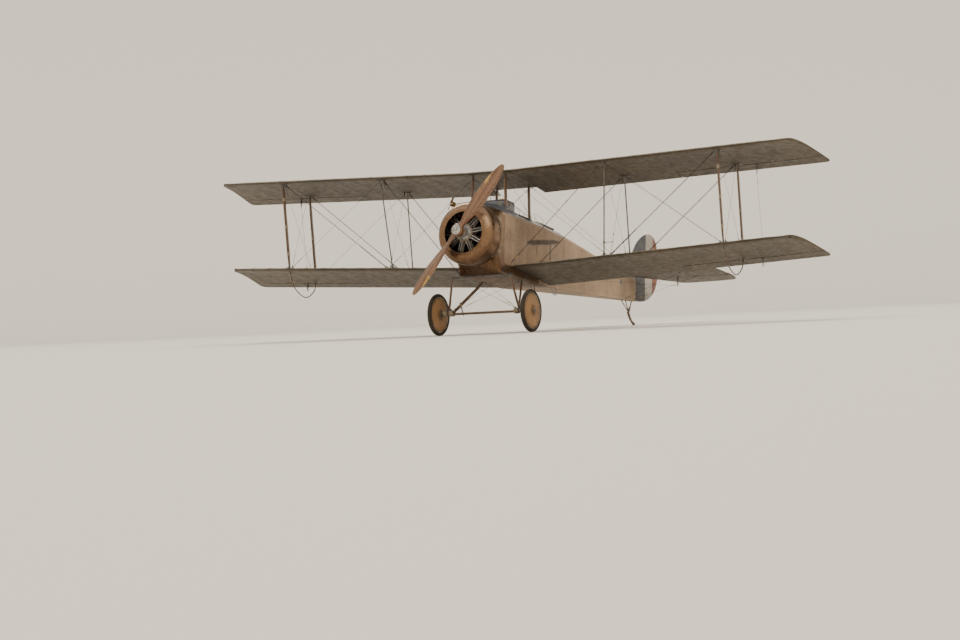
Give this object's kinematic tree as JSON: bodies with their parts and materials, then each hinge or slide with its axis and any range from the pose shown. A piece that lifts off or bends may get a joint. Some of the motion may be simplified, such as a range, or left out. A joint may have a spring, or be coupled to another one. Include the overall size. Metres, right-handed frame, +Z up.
{
  "type": "two-seat rotary-engined biplane",
  "caption": "Two-seat wood and fabric training biplane with a cowled rotary engine, strut-braced wings, disc wheels and a tail skid.",
  "frame": {"origin": "centre of the bounding box on the floor, under the parked aircraft", "axes": "+Z up, +X to the aircraft's own port side, nose towards -Y, raised by its tail-down parked angle"},
  "size_m": [10.9654, 8.305, 2.8339],
  "materials": {
    "cowl_metal": "burnished, oil stained",
    "engine_metal": "oily cast metal",
    "varnished_wood": "varnished laminated wood",
    "pale_fabric": "doped linen, pale grey",
    "decking_metal": "painted grey-blue sheet",
    "seat_wood": "varnished plywood",
    "wing_fabric": "doped linen, olive brown",
    "strut_wood": "varnished spruce and ash",
    "steel": "dark oiled steel",
    "rudder_fabric": "doped linen, three upright stripes",
    "tyre": "worn rubber",
    "wheel_fabric": "doped linen wheel cover"
  },
  "bodies": {
    "airframe": {"engine_cowl": "cowl_metal", "nose_fairing": "cowl_metal", "side_panel_port": "pale_fabric", "side_panel_starboard": "pale_fabric", "belly_panel": "pale_fabric", "top_decking": "decking_metal", "rear_fuselage": "pale_fabric", "front_seat": "seat_wood", "rear_seat": "seat_wood", "upper_centre_section": "wing_fabric", "upper_wing_port": "wing_fabric", "upper_wing_starboard": "wing_fabric", "lower_wing_port": "wing_fabric", "lower_wing_starboard": "wing_fabric", "outer_strut_front_port": "strut_wood", "outer_strut_rear_port": "strut_wood", "outer_strut_front_starboard": "strut_wood", "outer_strut_rear_starboard": "strut_wood", "inner_strut_front_port": "steel", "inner_strut_rear_port": "steel", "inner_strut_front_starboard": "steel", "inner_strut_rear_starboard": "steel", "cabane_strut_front_port": "strut_wood", "cabane_strut_rear_port": "strut_wood", "cabane_strut_front_starboard": "strut_wood", "cabane_strut_rear_starboard": "strut_wood", "flying_stay_front_port": "steel", "flying_stay_rear_port": "steel", "flying_stay_front_starboard": "steel", "flying_stay_rear_starboard": "steel", "tailplane": "wing_fabric", "axle": "steel", "gear_cross_tube": "steel", "gear_front_leg_port": "strut_wood", "gear_front_leg_starboard": "strut_wood", "gear_rear_leg_port": "strut_wood", "gear_rear_leg_starboard": "strut_wood", "tip_hoop_port": "varnished_wood", "tip_hoop_starboard": "varnished_wood", "tail_skid_frame": "steel", "tail_skid": "strut_wood"},
    "propeller_and_engine": {"propeller": "varnished_wood", "rotary_engine": "engine_metal"},
    "wheel_port": {"tyre_port": "tyre", "wheel_disc_port": "wheel_fabric"},
    "wheel_starboard": {"tyre_starboard": "tyre", "wheel_disc_starboard": "wheel_fabric"},
    "aileron_upper_port": {"aileron_upper_port": "wing_fabric"},
    "aileron_upper_starboard": {"aileron_upper_starboard": "wing_fabric"},
    "aileron_lower_port": {"aileron_lower_port": "wing_fabric"},
    "aileron_lower_starboard": {"aileron_lower_starboard": "wing_fabric"},
    "elevator_port": {"elevator_port": "wing_fabric"},
    "elevator_starboard": {"elevator_starboard": "wing_fabric"},
    "rudder": {"rudder": "rudder_fabric"}
  },
  "joints": [
    {"name": "propeller_spin", "type": "hinge", "parent": "airframe", "child": "propeller_and_engine", "pos_m": [0, -3.98068, 1.69422], "axis": [0, -0.988, 0.1544], "continuous": true},
    {"name": "wheel_port_spin", "type": "hinge", "parent": "airframe", "child": "wheel_port", "pos_m": [0.8545, -3.18971, 0.35], "axis": [1, 0, 0], "continuous": true},
    {"name": "wheel_starboard_spin", "type": "hinge", "parent": "airframe", "child": "wheel_starboard", "pos_m": [-0.8545, -3.18971, 0.35], "axis": [1, 0, 0], "continuous": true},
    {"name": "aileron_upper_port_hinge", "type": "hinge", "parent": "airframe", "child": "aileron_upper_port", "pos_m": [3, -1.83134, 2.51416], "axis": [0.9995, 0.0048, 0.031], "range_deg": [-20, 20]},
    {"name": "aileron_upper_starboard_hinge", "type": "hinge", "parent": "airframe", "child": "aileron_upper_starboard", "pos_m": [-3, -1.83134, 2.51416], "axis": [0.9995, -0.0048, -0.031], "range_deg": [-20, 20]},
    {"name": "aileron_lower_port_hinge", "type": "hinge", "parent": "airframe", "child": "aileron_lower_port", "pos_m": [3, -1.74994, 0.98167], "axis": [0.9988, 0.0075, 0.0483], "range_deg": [-20, 20]},
    {"name": "aileron_lower_starboard_hinge", "type": "hinge", "parent": "airframe", "child": "aileron_lower_starboard", "pos_m": [-3, -1.74994, 0.98167], "axis": [0.9988, -0.0075, -0.0483], "range_deg": [-20, 20]},
    {"name": "elevator_port_hinge", "type": "hinge", "parent": "airframe", "child": "elevator_port", "pos_m": [0, 3.28121, 0.88346], "axis": [1, 0, 0], "range_deg": [-25, 25]},
    {"name": "elevator_starboard_hinge", "type": "hinge", "parent": "airframe", "child": "elevator_starboard", "pos_m": [0, 3.28121, 0.88346], "axis": [1, 0, 0], "range_deg": [-25, 25]},
    {"name": "rudder_hinge", "type": "hinge", "parent": "airframe", "child": "rudder", "pos_m": [0, 3.05088, 0.8992], "axis": [0, 0.1544, 0.988], "range_deg": [-25, 25]}
  ],
  "couplings": [
    {"joint": "aileron_lower_port_hinge", "follows": "aileron_upper_port_hinge", "ratio": 1},
    {"joint": "aileron_upper_starboard_hinge", "follows": "aileron_upper_port_hinge", "ratio": -1},
    {"joint": "aileron_lower_starboard_hinge", "follows": "aileron_upper_port_hinge", "ratio": -1},
    {"joint": "elevator_starboard_hinge", "follows": "elevator_port_hinge", "ratio": 1}
  ]
}
